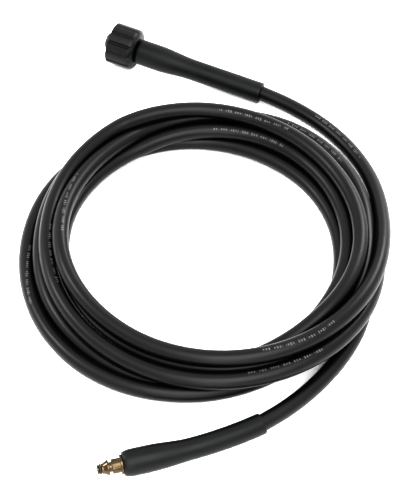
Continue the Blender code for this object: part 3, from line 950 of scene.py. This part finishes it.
@dataclass
class HandNut:
    """The moulded hand nut: twelve ribs with narrow grooves, a rim, a rounded back and an M22 thread."""

    axis: EndAxis
    diameter: float = 37.0 * MM
    length: float = 25.0 * MM
    back_taper: float = 5.5 * MM
    back_diameter: float = 27.0 * MM
    rim: float = 1.0 * MM
    grooves: int = 12
    groove_depth: float = 1.5 * MM
    groove_half_width: float = 1.2 * MM
    thread_core: float = 20.4 * MM
    thread_depth: float = 13.0 * MM
    thread_pitch: float = 1.5 * MM
    thread_height: float = 0.8 * MM
    shank_bore: float = 15.6 * MM
    sides_per_groove: int = 24
    mouth_chamfer: float = 0.9 * MM
    face_land: float = 3.2 * MM
    back_land: float = 1.5 * MM
    bore_chamfer: float = 0.5 * MM
    grip_depth: float = 3.0 * MM
    grip_squeeze: float = 0.25
    thread_step: float = 0.25 * MM
    core_tolerance: float = 0.01 * MM
    rim_steps: int = 6
    side_steps: int = 8
    back_steps: int = 10

    def groove_at(self, turn: float) -> float:
        """How deep the grooves go, a share of a turn round.

        Args:
            turn: The share of a turn.

        Returns:
            The depth below the nut's full radius.
        """
        step = turn * self.grooves % 1.0 - 0.5
        arc = step * math.pi * self.diameter / self.grooves
        return self.groove_depth * math.exp(-(arc / self.groove_half_width) ** 4)

    def outline(self) -> Profile:
        """Lists the nut's turned outline, from the thread's mouth over the rim to the back and its bore.

        Returns:
            Radius and height of each point.
        """
        outer, back, core = self.diameter / 2, self.back_diameter / 2, self.thread_core / 2
        bore, shoulder = self.shank_bore / 2, -self.length + self.back_taper
        points = [(core + self.mouth_chamfer, 0.0), (outer - self.face_land, 0.0), (outer - self.rim, 0.0)]
        points += [(outer - self.rim + self.rim * math.sin(a), -self.rim * (1 - math.cos(a)))
                   for a in quarter(self.rim_steps)]
        points += [(outer, shoulder * k / self.side_steps) for k in range(1, self.side_steps + 1)]
        points += [(back + (outer - back) * math.cos(a), shoulder - self.back_taper * math.sin(a))
                   for a in quarter(self.back_steps)]
        points += [(back - self.back_land, -self.length), (bore + self.bore_chamfer, -self.length),
                   (bore, -self.length + self.bore_chamfer), (bore, -self.thread_depth),
                   (core, -self.thread_depth)]
        count = math.ceil(self.thread_depth / self.thread_step)
        points += [(core, -self.thread_depth + (self.thread_depth - self.mouth_chamfer) * k / count)
                   for k in range(1, count + 1)]
        return points

    def build(self, material: Material) -> Object:
        """Turns the nut's outline, then presses its grooves and cuts its thread.

        Args:
            material: The nut's plastic.

        Returns:
            The nut.
        """
        shape = turned(self.outline(), self.grooves * self.sides_per_groove)
        outer, core = self.diameter / 2, self.thread_core / 2
        for vertex in shape.verts:
            place = vertex.co
            radius = math.hypot(place.x, place.y)
            turn = math.atan2(place.y, place.x) / TURN % 1.0
            wanted = radius
            if radius > outer - self.grip_depth:
                wanted = min(radius, outer - self.groove_at(turn) - (outer - radius) * self.grip_squeeze)
            elif abs(radius - core) < self.core_tolerance:
                wave = 0.5 + 0.5 * math.cos(TURN * (place.z / self.thread_pitch - turn))
                fade = min(1.0, (place.z + self.thread_depth) / self.thread_pitch)
                wanted = radius + self.thread_height * wave * fade
            place.x *= wanted / radius
            place.y *= wanted / radius
        return piece_from("hand_nut_grooved", shape, material,
                          Dress(Body.NUT, Slot.NUT_PLASTIC, ("hand_nut",)), self.axis.matrix)


@dataclass
class Nipple:
    """The brass nipple that the nut turns on, with its O-ring."""

    axis: EndAxis
    diameter: float = 14.0 * MM
    reach: float = 5.8 * MM
    chamfer: float = 0.8 * MM
    waterway: float = 8.0 * MM
    waterway_depth: float = 12.0 * MM
    throat_cone: float = 1.6 * MM
    edge_round: float = 0.15 * MM
    ring_setback: float = 2.4 * MM
    ring_section: float = 2.0 * MM
    ring_proud: float = 0.6 * MM
    collar: Triple = (19.4 * MM, 6.0 * MM, 3.0 * MM)
    shank: float = 15.0 * MM
    hose_front: float = 28.8 * MM
    tail: Triple = (5.8 * MM, 24.0 * MM, 4.0 * MM)
    steps: int = 72

    def build(self, brass: Material, seal: Material) -> List[Object]:
        """Turns the nipple and its O-ring.

        Args:
            brass: The nipple's metal.
            seal: The O-ring's rubber.

        Returns:
            Both pieces.
        """
        outer = self.diameter / 2
        height = self.reach - self.ring_setback
        floor = outer + self.ring_proud - self.ring_section - GAP
        half = self.ring_section / 2 + GAP
        collar_radius, collar_front, collar_thick = self.collar[0] / 2, self.collar[1], self.collar[2]
        tail_radius, tail_length, tail_bore = self.tail[0] / 2, self.tail[1], self.tail[2] / 2
        shank_end = -self.hose_front + GAP
        throat = self.reach - self.waterway_depth
        profile = [(outer - self.chamfer, self.reach), (outer, self.reach - self.chamfer),
                   (outer, height + half), (floor, height + half), (floor, height - half),
                   (outer, height - half), (outer, -collar_front), (collar_radius, -collar_front),
                   (collar_radius, -collar_front - collar_thick),
                   (self.shank / 2, -collar_front - collar_thick), (self.shank / 2, shank_end),
                   (tail_radius, shank_end), (tail_radius, shank_end - tail_length),
                   (tail_bore, shank_end - tail_length), (tail_bore, throat - self.throat_cone),
                   (self.waterway / 2, throat), (self.waterway / 2, self.reach)]
        nipple = piece_from("nipple_turned", turned(profile, self.steps, self.edge_round), brass,
                            Dress(Body.HOSE, Slot.BRASS, ("nut_nipple",)), self.axis.matrix)
        ring = o_ring("nipple_seal", "nipple_o_ring", outer + self.ring_proud, self.ring_section, height,
                      self.axis, seal)
        return [nipple, ring]


def o_ring(name: str, node: str, outer: float, section: float, height: float, axis: EndAxis,
           seal: Material, sides: int = 20, steps: int = 64) -> Object:
    """Turns an O-ring about a fitting's axis.

    Args:
        name: The piece's name.
        node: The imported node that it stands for.
        outer: Its outer radius.
        section: Its thickness.
        height: Its height along the axis.
        axis: The fitting's axis.
        seal: Its rubber.
        sides: The number of sides of its section.
        steps: The number of steps round it.

    Returns:
        The O-ring.
    """
    half = section / 2
    angles = [TURN * k / sides for k in range(sides)]
    profile = [(outer - half + half * math.cos(a), height - half * math.sin(a)) for a in angles]
    return piece_from(name, turned(profile, steps), seal, Dress(Body.HOSE, Slot.SEAL_RUBBER, (node,)),
                      axis.matrix)


@dataclass
class QuickPlug:
    """The brass plug that clicks into the gun: flange, body, latch groove, cone, seal land and tip."""

    axis: EndAxis
    flange: Pair = (14.6 * MM, 1.6 * MM)
    body: Pair = (11.0 * MM, 6.2 * MM)
    neck: Pair = (7.4 * MM, 2.2 * MM)
    disc: Pair = (11.4 * MM, 1.2 * MM)
    cone: float = 2.9 * MM
    land: Pair = (8.0 * MM, 1.2 * MM)
    ring_section: float = 1.6 * MM
    ring_proud: float = 0.2 * MM
    tip: Pair = (7.2 * MM, 1.3 * MM)
    edge_round: float = 0.18 * MM
    waterway: float = 2.8 * MM
    shank: float = 10.0 * MM
    hose_front: float = 2.8 * MM
    tail: Pair = (5.8 * MM, 24.0 * MM)
    steps: int = 72

    def heights(self) -> List[float]:
        """The heights of the plug's steps, from the back of its flange to its tip."""
        heights = [GAP]
        for step in (self.flange[1], self.body[1], self.neck[1], self.disc[1], self.cone, self.land[1],
                     self.ring_section + 2 * GAP, self.tip[1]):
            heights.append(heights[-1] + step)
        return heights

    def build(self, brass: Material, seal: Material) -> List[Object]:
        """Turns the plug and its O-ring.

        Args:
            brass: The plug's metal.
            seal: The O-ring's rubber.

        Returns:
            Both pieces.
        """
        back, flange, body, neck, disc, cone, land, groove, tip = self.heights()
        land_radius = self.land[0] / 2
        floor = land_radius + self.ring_proud - self.ring_section - GAP
        waterway = self.waterway / 2
        shank_end = -self.hose_front + GAP
        tail_radius, tail_length = self.tail[0] / 2, self.tail[1]
        profile = [(self.tip[0] / 2, tip), (self.tip[0] / 2, groove), (floor, groove), (floor, land),
                   (land_radius, land), (land_radius, cone), (self.disc[0] / 2, disc),
                   (self.disc[0] / 2, neck), (self.neck[0] / 2, neck), (self.neck[0] / 2, body),
                   (self.body[0] / 2, body), (self.body[0] / 2, flange), (self.flange[0] / 2, flange),
                   (self.flange[0] / 2, back), (self.shank / 2, back), (self.shank / 2, shank_end),
                   (tail_radius, shank_end), (tail_radius, shank_end - tail_length),
                   (waterway, shank_end - tail_length), (waterway, tip)]
        plug = piece_from("quick_plug_turned", turned(profile, self.steps, self.edge_round), brass,
                          Dress(Body.HOSE, Slot.BRASS, ("quick_plug",)), self.axis.matrix)
        ring = o_ring("plug_seal", "plug_o_ring", land_radius + self.ring_proud, self.ring_section,
                      (land + groove) / 2, self.axis, seal)
        return [plug, ring]


# The studio

@dataclass
class Studio:
    """A plain white table, soft lamps all round and a long lens that looks down at the coil."""

    look_at: Triple = (0.0032, -0.0142, 0.0)
    elevation: float = math.radians(51)
    distance: float = 1.15
    lens: float = 101.7
    floor_white: str = "f7f7f7"
    floor_reach: float = 6.0
    cloud: float = 0.3333
    room_light: float = 1.5
    lamps: Tuple[Tuple[str, Triple, float, float], ...] = (
        ("key", (0.75, 0.9, 0.85), 0.5, 10.0), ("left", (-1.0, 0.25, 0.95), 0.35, 7.0),
        ("low_front", (-0.1, -1.4, 0.5), 0.6, 4.0), ("high_front", (0.1, -0.75, 1.3), 1.3, 24.0))

    @property
    def eye(self) -> Vector:
        """Where the camera stands."""
        return Vector(self.look_at) + self.back * self.distance

    @property
    def back(self) -> Vector:
        """The direction from what the camera looks at to the camera."""
        return Vector((0.0, -math.cos(self.elevation), math.sin(self.elevation)))

    def build(self) -> None:
        """Sets up the camera, the floor, the lamps and the room's light."""
        self._camera()
        self._floor()
        for lamp in self.lamps:
            self._lamp(*lamp)
        self._world()

    def _camera(self) -> None:
        """Places the camera and makes it the scene's own."""
        data = bpy.data.cameras.new("camera")
        data.lens = self.lens
        data.sensor_width = 36.0
        data.dof.use_dof = False
        camera = in_scene("camera", data)
        camera.location = self.eye
        camera.rotation_euler = self.back.to_track_quat("Z", "Y").to_euler()
        bpy.context.scene.camera = camera

    def _floor(self) -> None:
        """Lays a wide white floor with a faint unevenness in its white."""
        shape = bmesh.new()
        bmesh.ops.create_grid(shape, x_segments=1, y_segments=1, size=self.floor_reach)
        mesh = bpy.data.meshes.new("floor")
        shape.to_mesh(mesh)
        shape.free()
        material, shader = shaded("white_table", {"Roughness": 0.6})
        tree = material.node_tree
        place = add_node(tree, "ShaderNodeTexCoord", take="Object")
        cloud = noise(tree, place, 1 / self.cloud)
        tone = mixed(tree, cloud, linear(self.floor_white), linear("ffffff"))
        set_inputs(shader, {"Base Color": tone})
        mesh.materials.append(material)
        in_scene("floor", mesh)

    def _lamp(self, name: str, place: Triple, size: float, power: float) -> None:
        """Hangs a soft square lamp that faces the coil.

        Args:
            name: The lamp's name.
            place: Where it hangs.
            size: The length of its sides.
            power: Its power in watts.
        """
        data = bpy.data.lights.new(name, "AREA")
        data.size = size
        data.energy = power
        lamp = in_scene(name, data)
        lamp.location = place
        lamp.rotation_euler = (Vector(place) - Vector(self.look_at)).to_track_quat("Z", "Y").to_euler()

    def _world(self) -> None:
        """Fills the room with plain white light."""
        world = bpy.data.worlds.new("room")
        world.use_nodes = True
        background = world.node_tree.nodes["Background"]
        background.inputs["Color"].default_value = (1.0, 1.0, 1.0, 1.0)
        background.inputs["Strength"].default_value = self.room_light
        bpy.context.scene.world = world


def main() -> None:
    """Builds the studio, the hose's fittings and the hose."""
    logging.basicConfig(level=logging.INFO, format="%(name)s: %(message)s")
    bpy.context.scene.view_settings.view_transform = "Standard"
    bpy.context.scene.view_settings.look = "Very High Contrast"
    studio = Studio()
    studio.build()
    nut_joint = frame["joints"][0]
    nut_axis = EndAxis(Vector(nut_joint["pos_m"]), unit(nut_joint["axis"]))
    mounts = {mount["name"]: mount for mount in frame["record"]["mounts"]}
    plug_out = unit(mounts["plug_tip"]["axis"])
    plug = QuickPlug(EndAxis(tip_on_axis("quick_plug", plug_out), plug_out))
    plug_axis = EndAxis(plug.axis.origin - plug_out * plug.heights()[-1], plug_out,
                        bend_start=34.0 * MM, bend_radius=320.0 * MM)
    plug.axis = plug_axis
    sleeve_rubber, seal, steel = (finish.material() for finish in (SLEEVE_RUBBER, SEAL_RUBBER, ZINC_STEEL))
    nut = HandNut(nut_axis).build(NUT_PLASTIC.material())
    nut_sleeve = Sleeve("nut_bend_sleeve", "nut_sleeve", nut_axis, front=26.0 * MM, length=118.0 * MM,
                        nose=2.5 * MM, nose_diameter=21.4 * MM, diameter=22.8 * MM, tail_diameter=18.6 * MM,
                        lip_bore=15.6 * MM, ferrule_wall=2.0 * MM)
    plug_sleeve = Sleeve("plug_bend_sleeve", "plug_sleeve", plug_axis, front=0.0, length=107.0 * MM,
                         nose=8.0 * MM, nose_diameter=16.0 * MM, diameter=20.0 * MM, tail_diameter=16.2 * MM,
                         lip_bore=10.6 * MM, ferrule_wall=1.0 * MM)
    # the nipple's brass is paler as a painted highlight, with painted shade behind its collar
    on_hose = Nipple(nut_axis).build(PAINTED_LIGHT_BRASS.material(), seal)
    on_hose.append(nut_sleeve.build(sleeve_rubber))
    on_hose += plug.build(BRASS.material(), seal)
    on_hose.append(plug_sleeve.build(sleeve_rubber))
    for node in ("nut_ferrule", "plug_ferrule"):
        ferrule = frame["nodes"][node]
        ferrule.material_slots[0].material = steel
        on_hose.append(ferrule)
    route = HoseRoute(studio.eye / MM)
    Hose(nut_axis, plug_axis, route).build(HoseRubber().material(), [nut, *on_hose])


if __name__ == "__main__":
    main()
